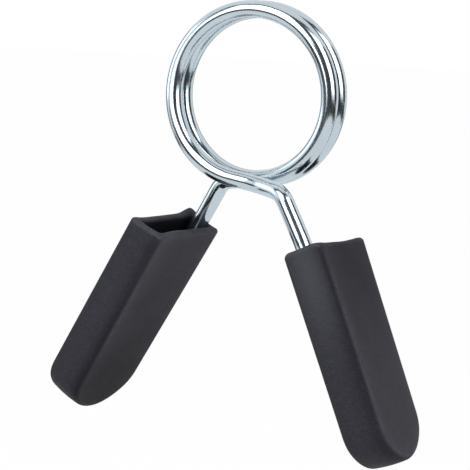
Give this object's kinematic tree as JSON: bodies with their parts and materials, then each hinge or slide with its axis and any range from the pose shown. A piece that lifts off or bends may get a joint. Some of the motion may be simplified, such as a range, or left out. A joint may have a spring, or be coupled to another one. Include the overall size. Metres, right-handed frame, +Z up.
{
  "type": "barbell spring collar",
  "caption": "Spring clip collar for a barbell sleeve: a coiled round wire whose crossed legs end in flat hollow grips that are squeezed together to open the coil.",
  "frame": {"origin": "centre of the coil, on the axis of the bar that it grips", "axes": "+Y along the bar's axis, from the right leg's side to the left leg's; +Z up from the grips to the top of the coil; +X towards the right grip"},
  "size_m": [0.1295, 0.0392, 0.146],
  "materials": {
    "plated_spring_wire": "bright zinc or chrome plate, polished",
    "black_grip": "matt moulded soft plastic with a fine grain"
  },
  "bodies": {
    "coil": {"coil_spring": "plated_spring_wire"},
    "right_lever": {"right_leg": "plated_spring_wire", "right_grip": "black_grip"},
    "left_lever": {"left_leg": "plated_spring_wire", "left_grip": "black_grip"}
  },
  "joints": [
    {"name": "right_squeeze", "type": "hinge", "parent": "coil", "child": "right_lever", "pos_m": [0, 0, 0], "axis": [0, 1, 0], "range_deg": [0, 20], "stiffness_Nm_per_rad": 50, "deforming": ["coil_spring"]},
    {"name": "left_squeeze", "type": "hinge", "parent": "coil", "child": "left_lever", "pos_m": [0, 0, 0], "axis": [0, -1, 0], "range_deg": [0, 20], "stiffness_Nm_per_rad": 50, "deforming": ["coil_spring"]}
  ],
  "couplings": [
    {"joint": "left_squeeze", "follows": "right_squeeze", "ratio": 1}
  ]
}
